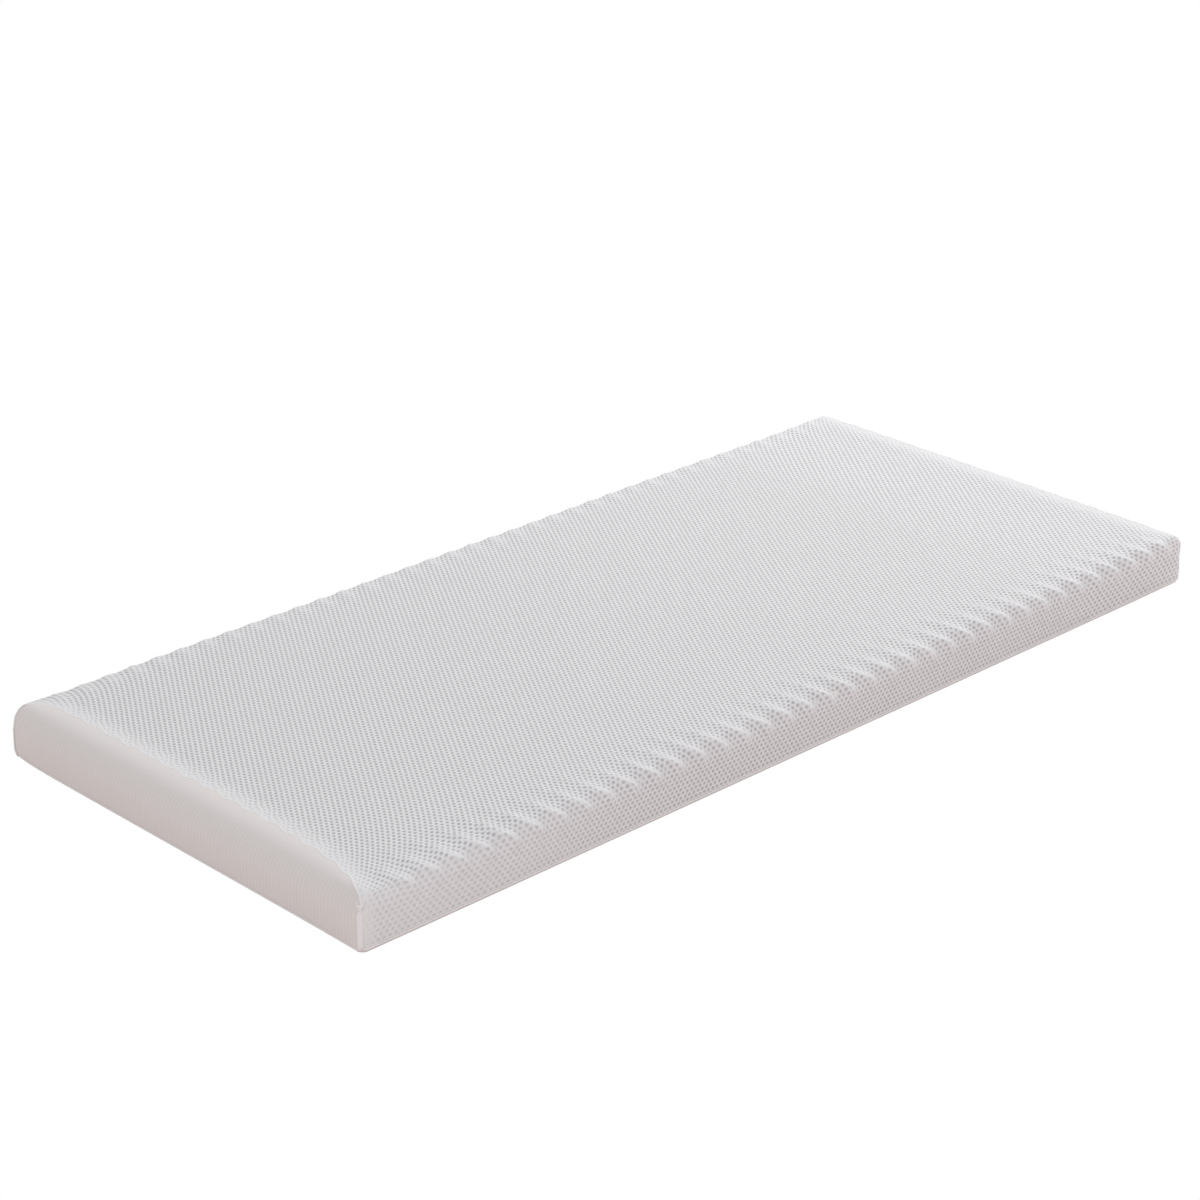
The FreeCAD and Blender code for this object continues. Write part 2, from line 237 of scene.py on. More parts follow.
def tightnessAndHighlight(x, y, z):
    # where the knit's holes close: round the near foot, where it is pulled tight, and on the pads'
    # shoulders, where it is tight and the closing lies on each pad's lit side as a painted highlight
    look = tightAndHighlightLook
    inward = halfWidth - np.abs(y) - (height - z)
    edge = fade(inward, *look["edgeFrom"]) * mix(1, look["topShare"], fade(inward, *look["topFade"]))
    edge = edge * (1 - fade(inward, *look["edgeTo"])) * (1 - fade(-x, *look["footFade"]))
    # painted highlight: the holes close on the lit side of each pad's crest, as well as where the knit is
    # really tight
    shoulderHighlight = edge * swell(x - crestPlace(inward) - look["shoulderHighlight"], look["sharpness"])
    fromFoot = halfLength + x
    fromNear = halfWidth + y
    corner = (1 - fade(fromFoot, *look["cornerAlong"])) * (1 - fade(fromNear, *look["cornerAcross"]))
    side = look["sideShare"] * (1 - fade(fromFoot, *look["sideAlong"]))
    side = side * (1 - fade(fromNear, *look["sideAcross"]))
    return np.maximum(np.maximum(shoulderHighlight, side), corner)


def surfacePoint(x, y, z):
    # places and normals on the cover itself, pads and all
    place, normal = roundedPoint(x, y, z)
    out = relief(x, y, z) * fade(z, 0.0, form["padsFrom"])
    return place + normal * out[..., None], normal


seams = {
    "footDepth": 0.059,         # how far in from the end the end seams lie on the top
    "headDepth": 0.022,
    "footNear": 0.075,          # how slowly they come in from the corners
    "footFar": 0.022,
    "headSides": 0.030,
    "wave": 0.0034,             # they waver as they cross the pads
    "wavePhase": 0.6,
    "waveFade": 0.05,
    "wrapNear": 0.003,          # how far the mesh wraps round an upright corner
    "wrap": 0.012,
    "wrapFade": 0.03,           # and how far down it comes fully round
    "onTop": 1e-6,              # a place this near the top's height is on the top
}


def seamDepth(y, isFoot):
    near = halfWidth + y
    far = halfWidth - y
    if isFoot:
        depth, nearFade, farFade = seams["footDepth"], seams["footNear"], seams["footFar"]
    else:
        depth, nearFade, farFade = seams["headDepth"], seams["headSides"], seams["headSides"]
    return depth * (1 - np.exp(-near / nearFade)) * (1 - np.exp(-far / farFade))


def seamWave(y):
    inner = 1 - np.exp(-(halfWidth - np.abs(y)) / seams["waveFade"])
    return seams["wave"] * np.cos(padStep * y + seams["wavePhase"]) * inner ** 2


def seamWrap(y, isFoot):
    return np.where((y < 0) & isFoot, seams["wrapNear"], seams["wrap"])


def seamPlace(y, z, isFoot):
    # the seam's distance along a row from the middle; past halfLength it lies on the end's face
    wrapped = halfLength + seamWrap(y, isFoot) * fade(height - z, 0, seams["wrapFade"])
    return np.where(z >= height - seams["onTop"], halfLength - seamDepth(y, isFoot), wrapped)


def addPiece(name, points, faces, uv=None, tightAndHighlight=None):
    mesh = bpy.data.meshes.new(name)
    mesh.from_pydata([tuple(p) for p in points], [], [tuple(int(i) for i in f) for f in faces])
    if uv is not None:
        layer = mesh.uv_layers.new(name="cloth")
        index = np.zeros(len(mesh.loops), np.int32)
        mesh.loops.foreach_get("vertex_index", index)
        layer.data.foreach_set("uv", np.asarray(uv, np.float32)[index].ravel())
    if tightAndHighlight is not None:
        layer = mesh.attributes.new("tightAndHighlight", "FLOAT", "POINT")
        layer.data.foreach_set("value", np.asarray(tightAndHighlight, np.float32))
    mesh.polygons.foreach_set("use_smooth", [True] * len(mesh.polygons))
    mesh.validate()
    mesh.update()
    piece = bpy.data.objects.new(name, mesh)
    bpy.context.scene.collection.objects.link(piece)
    return piece


def gridFaces(rows, columns, loop=False, flip=False):
    # quads of a grid whose points run along each row; loop joins the last column to the first
    faces = []
    for r in range(rows - 1):
        for c in range(columns if loop else columns - 1):
            a = r * columns + c
            b = r * columns + (c + 1) % columns
            quad = (a, b, b + columns, a + columns)
            faces.append(quad[::-1] if flip else quad)
    return faces


rollRadius = 0.002              # of a sewn roll, for the pattern round it


def tube(name, path, normals, halfWide, halfHigh, sides=8, closed=False):
    # a sewn roll along a line on the form, with a half width and a half height at each point
    count = len(path)
    if closed:
        tangent = np.roll(path, -1, axis=0) - np.roll(path, 1, axis=0)
    else:
        tangent = np.gradient(path, axis=0)
    tangent /= np.maximum(np.linalg.norm(tangent, axis=1, keepdims=True), tiny)
    cross = np.cross(normals, tangent)
    cross /= np.maximum(np.linalg.norm(cross, axis=1, keepdims=True), tiny)
    angle = np.linspace(0, 2 * math.pi, sides, endpoint=False)
    wide = np.broadcast_to(halfWide, count)[:, None] * np.cos(angle)
    high = np.broadcast_to(halfHigh, count)[:, None] * np.sin(angle)
    points = path[:, None] + cross[:, None] * wide[..., None] + normals[:, None] * high[..., None]
    faces = gridFaces(count, sides, loop=True)
    if closed:
        last = (count - 1) * sides
        faces += [(last + i, last + (i + 1) % sides, (i + 1) % sides, i) for i in range(sides)]
    else:
        faces += [tuple(range(sides))[::-1], tuple((count - 1) * sides + i for i in range(sides))]
    run = np.concatenate([[0], np.cumsum(np.linalg.norm(np.diff(path, axis=0), axis=1))])
    around = np.arange(sides) / sides * 2 * math.pi * rollRadius
    uv = np.stack(np.broadcast_arrays(run[:, None], around[None]), -1).reshape(-1, 2)
    return addPiece(name, points.reshape(-1, 3), faces, uv)


meshCoverLook = {
    "holePitch": 0.00987,       # hole to hole along a row
    "rowPitch": 0.00777,        # row to row; every other row is half a hole along
    "holeDepth": 0.0009,
    "seamShift": 0.30,          # how far in the rows are drawn along with the seam, and with its wave
    "waveShift": 0.045,
    "endTight": 0.8,            # the seams at the ends pull the last half-holes nearly shut
    "endHoles": 9,
    "rimHoles": 3,              # half-holes from the rim to the first full dimple
}


def crossRow(v, x, lastRow):
    # a row's place on the sharp box's cross-section, from its distance along the cloth
    top = np.full_like(x, height)
    side = np.full_like(x, math.copysign(halfWidth, v))
    _, across, dropTop, _ = reaches(x, side, top)
    flat = halfWidth - across
    arc = math.pi / 2 * np.sqrt((across ** 2 + dropTop ** 2) / 2)
    reach = abs(v)
    turn = np.clip((reach - flat) / arc, 0, 1) * math.pi / 2
    curved = np.minimum(flat + across * np.tan(np.minimum(turn, math.pi / 4)), halfWidth)
    y = np.where(reach < flat, reach, curved)
    z = height - dropTop * (1 - np.tan(np.maximum(math.pi / 2 - turn, 0)))
    z = np.where(turn <= math.pi / 4, height, z)
    down = (reach - flat - arc) / (lastRow - flat - arc)
    lower = mix(height - dropTop, form["baseSeam"], np.clip(down, 0, 1))
    z = np.where(reach > flat + arc, lower, z)
    return math.copysign(1, v) * y, z


def buildMeshCover():
    # rows run the whole length over the top and down both long sides, with a sunk point at each hole
    look = meshCoverLook
    nominal = halfLength - seams["footDepth"]
    middle = np.zeros(1)
    _, across, drop, _ = reaches(middle, middle + halfWidth, middle + height)
    arc = math.pi / 2 * math.sqrt((across[0] ** 2 + drop[0] ** 2) / 2)
    last = halfWidth - across[0] + arc + height - drop[0] - form["baseSeam"]
    columns = 2 * round(nominal * 2 / look["holePitch"]) + 1
    rows = 2 * round(last / look["rowPitch"]) + 1
    s = np.linspace(-nominal, nominal, columns)
    slow = fade(np.abs(s), nominal - look["seamShift"], nominal)
    quick = fade(np.abs(s), nominal - look["waveShift"], nominal)
    places, uvs, tightAndHighlightRows = [], [], []
    for b, v in enumerate(np.linspace(-last, last, rows)):
        shift = np.zeros(columns)
        for end in (-1, 1):
            y, z = crossRow(v, np.array([end * nominal]), last)
            reach = seamPlace(y, z, end < 0)[0] - nominal
            waver = seamWave(y)[0] if z[0] >= height - seams["onTop"] else 0
            shift += np.where(s * end > 0, end * (reach * slow + waver * quick), 0)
        along = s + shift
        x = np.clip(along, -halfLength, halfLength)
        y, z = crossRow(v, x, last)
        y = y - np.sign(y) * (np.abs(along) - np.abs(x))
        place, normal = surfacePoint(x, y, z)
        a = np.arange(columns)
        fromEnd = np.minimum(a, columns - 1 - a)
        drawn = look["endTight"] * (1 - fade(fromEnd, 0, look["endHoles"]))
        # how tight the knit is, with the painted highlight on the pads' lit shoulders and the seams' pull at
        # the ends
        tightAndHighlight = np.maximum(tightnessAndHighlight(x, y, z), drawn)
        fromRim = np.minimum(fromEnd, min(b, rows - 1 - b))
        hole = ((a + b) % 2 == 0) * fade(fromRim, 0, look["rimHoles"]) * (1 - tightAndHighlight)
        places.append(place - normal * (look["holeDepth"] * hole)[:, None])
        uvs.append(np.stack([a * look["holePitch"] / 2, np.full(columns, b * look["rowPitch"])], -1))
        tightAndHighlightRows.append(tightAndHighlight)
    faces = []
    for b in range(rows - 1):
        for a in range(columns - 1):
            p = b * columns + a
            q, r, t = p + 1, p + columns + 1, p + columns
            if (a + b) % 2 == 0:
                faces += [(p, q, t), (q, r, t)]
            else:
                faces += [(p, q, r), (p, r, t)]
    places = np.array(places)
    uvs = np.array(uvs).reshape(-1, 2)
    return addPiece("meshCover", places.reshape(-1, 3), faces, uvs, np.ravel(tightAndHighlightRows)), places


meshCover, meshGrid = buildMeshCover()
print("mesh cover built,", len(meshCover.data.polygons), "faces")


endPanelLook = {
    "footCells": (9, 8, 4, 6),  # on the top, round the upper curve, on the flat, round the lower curve
    "upperCells": (9, 9, 2, 0),
    "lowerCells": (0, 0, 5, 7),
    "footColumns": 181,
    "headColumns": 361,
    "window": 0.0052,           # half the height of the opening over the zip's coils
    "windowTaper": 0.004,
    "stopEase": 0.0003,         # from a stop to the end of the opening
}
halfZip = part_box("zip_closed_stop")[1].y + endPanelLook["stopEase"]


def endColumn(y, isFoot, top, bottom, counts):
    # sharp-box places down one column of an end panel, evenly spread round the curves
    end = -1 if isFoot else 1
    corner = np.array([end * halfLength]), np.array([y]), np.array([height])
    along, _, drop, below = (radius[0] for radius in reaches(*corner))
    depth = float(seamDepth(y, isFoot) - seamWave(y))
    onTop, onArc, onFlat, onLower = counts
    places, heights = [], []
    if top is None:
        start = math.atan2(depth, along) if depth < along else math.pi / 4
        beyond = max(depth - along, 0)
        for k in range(onTop):
            left = 1 - k / onTop
            places.append(halfLength - along * math.tan(start * left) - beyond * left)
            heights.append(height)
        for k in range(onArc):
            places.append(halfLength)
            heights.append(height - drop * (1 - math.tan(math.pi / 4 * (1 - k / onArc))))
    upper = height - drop if top is None else top
    lower = below if bottom is None else bottom
    for k in range(onFlat):
        places.append(halfLength)
        heights.append(mix(upper, lower, k / onFlat))
    finish = math.atan((below - form["baseSeam"]) / below)
    for k in range(onLower + 1):
        places.append(halfLength)
        heights.append(lower if bottom else below - below * math.tan(finish * k / onLower))
    return end * np.array(places), np.array(heights)


def buildEndPanel(name, isFoot, top, bottom, counts, columns):
    # top and bottom give the edges of the opening for the zip at each place across
    places, uvs = [], []
    for t in np.linspace(0, 1, columns):
        across = mix(-halfWidth, halfWidth, t)
        upper = top(across) if top else None
        lower = bottom(across) if bottom else None
        x, z = endColumn(across, isFoot, upper, lower, counts)
        wrapped = fade(height - z, 0, seams["wrapFade"])
        nearEdge = seamWrap(-1.0, isFoot) * wrapped - halfWidth
        farEdge = halfWidth - seamWrap(1.0, isFoot) * wrapped
        place, normal = surfacePoint(x, mix(nearEdge, farEdge, t), z)
        places.append(place)
        run = np.concatenate([[0], np.cumsum(np.linalg.norm(np.diff(place, axis=0), axis=1))])
        uvs.append(np.stack([place[:, 1], run[-1] - run], -1))
    places = np.array(places)
    faces = gridFaces(places.shape[0], places.shape[1], flip=not isFoot)
    return addPiece(name, places.reshape(-1, 3), faces, np.array(uvs).reshape(-1, 2))


def zipGap(y):
    # half the height of the opening between the two head panels
    return endPanelLook["window"] * float(fade(halfZip - abs(y), 0, endPanelLook["windowTaper"]))


footPanel = buildEndPanel("footPanel", True, None, None,
                          endPanelLook["footCells"], endPanelLook["footColumns"])
headUpper = buildEndPanel("headPanelUpper", False, None, lambda y: zipHeight + zipGap(y),
                          endPanelLook["upperCells"], endPanelLook["headColumns"])
headLower = buildEndPanel("headPanelLower", False, lambda y: zipHeight - zipGap(y), None,
                          endPanelLook["lowerCells"], endPanelLook["headColumns"])
print("end panels built")

coreLook = {
    "baseCells": (161, 73, 4),
    "linerInset": 0.0035,
    "linerCells": (121, 55, 12),
    "linerThickness": 0.0008,
    "foamInset": 0.0065,        # cover, liner and their ease
    "foamJoint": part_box("base_foam_layer")[1].z,
    "baseFoamCells": (121, 55, 8),
    "memoryFoamCells": (251, 113, 6),
    "crateDepth": 0.012,        # the convoluted top
    "cratePitch": 0.048,
    "crateFade": (0.015, 0.05),
}


def levelCap(gx, gy, z, inset):
    # a level cut through the form, filled in from its outline
    share = np.maximum(np.maximum(np.abs(gx) / halfLength, np.abs(gy) / halfWidth), tiny)
    place, normal = roundedPoint(gx / share, gy / share, np.full_like(gx, z))
    place = place - normal * inset
    place[..., :2] *= share[..., None]
    place[..., 2] = z
    return place


def buildBlock(name, inset, low, high, cells, lift=None, isOpen=False):
    # a block inside the form between two heights: a grid below, rings up the sides, a grid above
    columns, rows, levels = cells
    along = np.linspace(-halfLength, halfLength, columns)
    gx, gy = np.meshgrid(along, np.linspace(-halfWidth, halfWidth, rows))

    def sheetAt(z):
        if 0 < z < height:
            return levelCap(gx, gy, z, inset)
        place, normal = roundedPoint(gx, gy, np.full_like(gx, z))
        return place - normal * inset

    rim = [(0, c) for c in range(columns)] + [(r, columns - 1) for r in range(1, rows)]
    rim += [(rows - 1, c) for c in range(columns - 2, -1, -1)] + [(r, 0) for r in range(rows - 2, 0, -1)]
    rimX = np.array([gx[r, c] for r, c in rim])
    rimY = np.array([gy[r, c] for r, c in rim])
    points = list(sheetAt(low).reshape(-1, 3))
    faces = gridFaces(rows, columns, flip=True)
    previous = [r * columns + c for r, c in rim]
    for k in range(1, levels + 1):
        start = len(points)
        if k == levels and not isOpen:
            upper = sheetAt(high)
            if lift:
                upper[..., 2] += lift(upper[..., 0], upper[..., 1])
            points += list(upper.reshape(-1, 3))
            faces += [tuple(start + i for i in quad) for quad in gridFaces(rows, columns)]
            current = [start + r * columns + c for r, c in rim]
        else:
            place, normal = roundedPoint(rimX, rimY, np.full(len(rim), mix(low, high, k / levels)))
            current = list(range(start, start + len(rim)))
            points += list(place - normal * inset)
        faces += [(previous[i - 1], previous[i], current[i], current[i - 1]) for i in range(len(rim))]
        previous = current
    points = np.array(points)
    return addPiece(name, points, faces, points[:, :2])


def crateLift(x, y):
    # rows of rounded pads, which die out at the edge of the foam
    step = 2 * math.pi / coreLook["cratePitch"]
    inside = fade(np.minimum(halfLength - np.abs(x), halfWidth - np.abs(y)), *coreLook["crateFade"])
    return -coreLook["crateDepth"] / 2 * (1 - np.cos(step * x) * np.cos(step * y)) * inside


basePanel = buildBlock("basePanel", 0, 0, form["baseSeam"], coreLook["baseCells"], isOpen=True)
liner = buildBlock("liner", coreLook["linerInset"], 0, height, coreLook["linerCells"])
baseFoam = buildBlock("baseFoam", coreLook["foamInset"], 0, coreLook["foamJoint"], coreLook["baseFoamCells"])
memoryFoam = buildBlock("memoryFoam", coreLook["foamInset"], coreLook["foamJoint"], height,
                        coreLook["memoryFoamCells"], crateLift)
linerWall = liner.modifiers.new("wall", "SOLIDIFY")
linerWall.thickness = coreLook["linerThickness"]
linerWall.offset = -1
print("base panel, foam and liner built")

seamLook = {
    "topWide": 0.0013,          # half width and half height of the sewn roll on the top
    "topHigh": 0.0006,
    "uprightWide": 0.0030,      # and where it runs down an upright corner
    "uprightHigh": 0.0016,
    "nearWide": 0.0046,         # the plump one at the near foot corner
    "nearHigh": 0.0034,
    "uprightFrom": (0.066, 0.080),
    "baseWide": 0.0016,
    "baseHigh": 0.0010,
    "basePoints": 700,
    "sides": 12,
    "flatness": 8,              # about how much wider than high the mattress is, to tell out from in
}


def perimeter(count, z):
    # sharp-box places evenly round the mattress at one height, anticlockwise from a corner
    corners = [(-halfLength, -halfWidth), (halfLength, -halfWidth),
               (halfLength, halfWidth), (-halfLength, halfWidth)]
    x, y = [], []
    for (x1, y1), (x2, y2) in zip(corners, corners[1:] + corners[:1]):
        n = round(count * (abs(x2 - x1) + abs(y2 - y1)) / (4 * (halfLength + halfWidth)))
        x += [mix(x1, x2, i / n) for i in range(n)]
        y += [mix(y1, y2, i / n) for i in range(n)]
    return np.array(x), np.array(y), np.full(len(x), z)


def lineNormals(grid, column, inner):
    # outward normals along a boundary column of a grid of points
    line = grid[:, column]
    normal = np.cross(np.gradient(line, axis=0), grid[:, inner] - line)
    normal /= np.maximum(np.linalg.norm(normal, axis=1, keepdims=True), tiny)
    fromMiddle = (line - np.array([0, 0, height / 2])) * np.array([1, 1, seamLook["flatness"]])
    return normal * np.sign((fromMiddle * normal).sum(1))[:, None]


def buildSeam(name, column, inner, isFoot):
    look = seamLook
    path = meshGrid[:, column].copy()
    normals = lineNormals(meshGrid, column, inner)
    upright = 1 - fade(path[:, 2], *look["uprightFrom"])
    isPlump = (path[:, 1] < 0) & isFoot
    wide = mix(look["topWide"], np.where(isPlump, look["nearWide"], look["uprightWide"]), upright)
    high = mix(look["topHigh"], np.where(isPlump, look["nearHigh"], look["uprightHigh"]), upright)
    return tube(name, path, normals, wide, high, sides=look["sides"])


tuftLook = {
    "root": 0.082,              # height of the gathered threads, at the top of the plump roll
    "strands": 7,
    "length": 0.020,
    "uneven": 0.25,             # their lengths differ by up to twice this share
    "thread": 0.0012,           # radius at the middle
    "taper": 0.25,
    "outward": (-0.72, -0.69, 0.0),
    "sideways": (0.69, -0.72, 0.0),
    "spread": 0.55,             # how far the outer ones lean, and how much lower they end
    "droop": 0.35,
    "rooted": 0.45,             # the share of each that lies below the root
    "proud": 0.0022,
    "bow": 0.0035,
    "points": 9,
    "sides": 6,
}


def buildTuft():
    # threads gathered where the plump roll meets the top: short arcs that fan out from its end
    look = tuftLook
    near = meshGrid[:len(meshGrid) // 2, 0]
    root = near[np.argmin(np.abs(near[:, 2] - look["root"]))]
    outward = np.array(look["outward"])
    sideways = np.array(look["sideways"])
    strands = []
    t = np.linspace(0, 1, look["points"])[:, None]
    for i in range(look["strands"]):
        spread = mix(-1, 1, i / (look["strands"] - 1))
        length = look["length"] * (1 - look["uneven"] + look["uneven"] * math.cos(5 * i))
        way = sideways * look["spread"] * spread + np.array([0, 0, 1.0 - look["droop"] * abs(spread)])
        path = root + outward * look["proud"] + way * length * (t - look["rooted"])
        path = path + outward * look["bow"] * np.sin(math.pi * t)
        thick = look["thread"] * (look["taper"] + np.sin(math.pi * t[:, 0]))
        normals = np.tile(outward, (len(path), 1))
        strands.append(tube("cornerTuft", path, normals, thick, thick, sides=look["sides"]))
    with bpy.context.temp_override(active_object=strands[0], selected_editable_objects=strands):
        bpy.ops.object.join()
    return strands[0]


footSeam = buildSeam("footSeam", 0, 2, True)
headSeam = buildSeam("headSeam", -1, -3, False)
baseLine, baseNormal = surfacePoint(*perimeter(seamLook["basePoints"], form["baseSeam"]))
baseSeam = tube("baseSeam", baseLine, baseNormal, seamLook["baseWide"], seamLook["baseHigh"], closed=True)
cornerTuft = buildTuft()
print("seams built")

coilLook = {
    "turn": 0.0015,             # one turn of the monofilament to the next
    "wire": 0.00030,            # its radius
    "pointsPerTurn": 12,
    "sides": 5,
}


def buildCoil(name, nodeName):
    # a row of coil teeth: a flattened helix that fills the row's own place
    low, high = (np.array(corner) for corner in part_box(nodeName))
    middle = (low + high) / 2
    half = (high - low) / 2 - coilLook["wire"]
    turns = int((high[1] - low[1] - 2 * coilLook["wire"]) / coilLook["turn"])
    count = turns * coilLook["pointsPerTurn"] + 1
    angle = np.linspace(0, 2 * math.pi * turns, count)
    path = np.stack([middle[0] + half[0] * np.cos(angle),
                     np.linspace(middle[1] - half[1], middle[1] + half[1], count),
                     middle[2] + half[2] * np.sin(angle)], -1)
    normals = np.tile([0.0, 1.0, 0.0], (count, 1))
    return tube(name, path, normals, coilLook["wire"], coilLook["wire"], sides=coilLook["sides"])


coilUpper = buildCoil("coilTeethUpper", "zip_coil_upper")
coilLower = buildCoil("coilTeethLower", "zip_coil_lower")
print("zip coils built")


def colour(hexCode):
    values = [int(hexCode[i:i + 2], 16) / 255 for i in (1, 3, 5)]
    return [v / 12.92 if v <= 0.04045 else ((v + 0.055) / 1.055) ** 2.4 for v in values] + [1.0]


def addNode(tree, kind, inputs=None, **settings):
    node = tree.nodes.new(kind)
    for name, value in settings.items():
        setattr(node, name, value)
    for key, value in (inputs or {}).items():
        if isinstance(value, bpy.types.NodeSocket):
            tree.links.new(value, node.inputs[key])
        else:
            node.inputs[key].default_value = value
    return node


def startMaterial(name):
    material = bpy.data.materials.new(name)
    material.use_nodes = True
    material.node_tree.nodes.clear()
    return material, material.node_tree


spacerMesh = {
    "yarn": "#DAD9DB",
    # the holes' colour is painted shade, the dark inside the open holes
    "hole": "#B3AFB3",
    "holeRadius": 0.0024,
    "holeSoft": 0.0015,
    "raggedness": 0.0016,       # how uneven the holes' edges are
    "threadScale": 420.0,       # bundles of filaments, drawn as coarse as 2.4 mm so that they show
    "closed": 0.9,              # how far a hole's painted shade is taken away where the knit is tight, and where the pads' shoulders carry a painted highlight
}


def makeSpacerMesh():
    # polyester spacer mesh, warp-knitted: open holes in staggered rows, drawn in a darker colour as painted
    # shade, soft matt yarn, no gloss
    look = spacerMesh
    material, tree = startMaterial("polyesterSpacerMeshKnitted")
    cloth = addNode(tree, "ShaderNodeUVMap", uv_map="cloth").outputs["UV"]
    place = addNode(tree, "ShaderNodeTexCoord").outputs["Object"]
    # where the knit is tight, and the painted highlight on the pads' lit shoulders: both take away the
    # holes' painted shade
    tightAndHighlight = addNode(tree, "ShaderNodeAttribute", attribute_name="tightAndHighlight").outputs["Fac"]
    cell = (meshCoverLook["holePitch"], 2 * meshCoverLook["rowPitch"], 1.0)
    inCells = addNode(tree, "ShaderNodeVectorMath", {0: cloth, 1: cell}, operation="DIVIDE").outputs[0]
    distances = []
    for offset in (0.0, 0.5):
        moved = addNode(tree, "ShaderNodeVectorMath", {0: inCells, 1: (offset, offset, 0)}).outputs[0]
        part = addNode(tree, "ShaderNodeVectorMath", {0: moved}, operation="FRACTION").outputs[0]
        centred = addNode(tree, "ShaderNodeVectorMath", {
            0: part, 1: (0.5, 0.5, 0)}, operation="SUBTRACT").outputs[0]
        real = addNode(tree, "ShaderNodeVectorMath", {0: centred, 1: cell}, operation="MULTIPLY").outputs[0]
        length = addNode(tree, "ShaderNodeVectorMath", {0: real}, operation="LENGTH")
        distances.append(length.outputs["Value"])
    nearest = addNode(tree, "ShaderNodeMath", {
        0: distances[0], 1: distances[1]}, operation="MINIMUM").outputs[0]
    thread = addNode(tree, "ShaderNodeTexNoise", {
        "Vector": place, "Scale": look["threadScale"], "Detail": 3.0, "Roughness": 0.65}).outputs["Fac"]
    ragged = addNode(tree, "ShaderNodeMath", {
        0: thread, 1: look["raggedness"], 2: -look["raggedness"] / 2}, operation="MULTIPLY_ADD").outputs[0]
    distance = addNode(tree, "ShaderNodeMath", {0: nearest, 1: ragged}, operation="ADD").outputs[0]
    closed = addNode(tree, "ShaderNodeMath", {0: tightAndHighlight, 1: look["closed"]}, operation="MULTIPLY").outputs[0]
    yarn = addNode(tree, "ShaderNodeMapRange", {
        "Value": distance, "From Min": look["holeRadius"] - look["holeSoft"],
        "From Max": look["holeRadius"] + look["holeSoft"], "To Min": closed, "To Max": 1.0},
        interpolation_type="SMOOTHSTEP").outputs["Result"]
    # painted shade: the holes' darker colour, mixed in by the yarn share
    tint = addNode(tree, "ShaderNodeMix", {0: yarn, 6: colour(look["hole"]), 7: colour(look["yarn"])},
                   data_type="RGBA").outputs[2]
    shade = addNode(tree, "ShaderNodeMapRange", {
        "Value": thread, "From Min": 0.3, "From Max": 0.7, "To Min": 0.93, "To Max": 1.04}).outputs["Result"]
    yarnWithPaintedShade = addNode(tree, "ShaderNodeHueSaturation", {"Color": tint, "Value": shade}).outputs["Color"]
    rise = addNode(tree, "ShaderNodeMath", {0: thread, 1: 0.5, 2: yarn}, operation="MULTIPLY_ADD").outputs[0]
    relief = addNode(tree, "ShaderNodeBump", {
        "Strength": 0.9, "Distance": 0.0017, "Height": rise}).outputs["Normal"]
    shader = addNode(tree, "ShaderNodeBsdfPrincipled", {
        "Base Color": yarnWithPaintedShade, "Normal": relief, "Roughness": 0.85, "Specular IOR Level": 0.3,
        "Sheen Weight": 0.15, "Sheen Roughness": 0.5})
    addNode(tree, "ShaderNodeOutputMaterial", {"Surface": shader.outputs["BSDF"]})
    return material


# rib is from one rib to the next, and grain the yarn's waves in a metre, drawn coarser than the real
# stitches of about half a millimetre so that they show
# low is the colour in the hollows of the ribs and yarn, which is painted shade, and high the colour where
# they rise
knits = {
    "endKnit": {"name": "polyesterJerseyRibbed", "rib": 0.0081, "rise": 0.25, "grain": 700.0,
                "low": "#D0CBCA", "high": "#DBD6D5"},
    "baseKnit": {"name": "polyesterJerseyPlain", "rib": 0.004, "rise": 0.3, "grain": 500.0,
                 "low": "#CCC8C8", "high": "#DAD6D6"},
    "seamKnit": {"name": "polyesterBindingFolded", "rib": 0.003, "rise": 0.5, "grain": 900.0,
                 "low": "#DAD7D8", "high": "#E4E1E2"},
    "linerKnit": {"name": "cottonStockinetteThin", "rib": 0.002, "rise": 0.4, "grain": 800.0,
                  "low": "#D9D8D4", "high": "#E6E5E1"},
    "tapeKnit": {"name": "polyesterTapeWoven", "rib": 0.0012, "rise": 0.5, "grain": 1200.0,
                 "low": "#CFCCCB", "high": "#DEDBDA"},
}


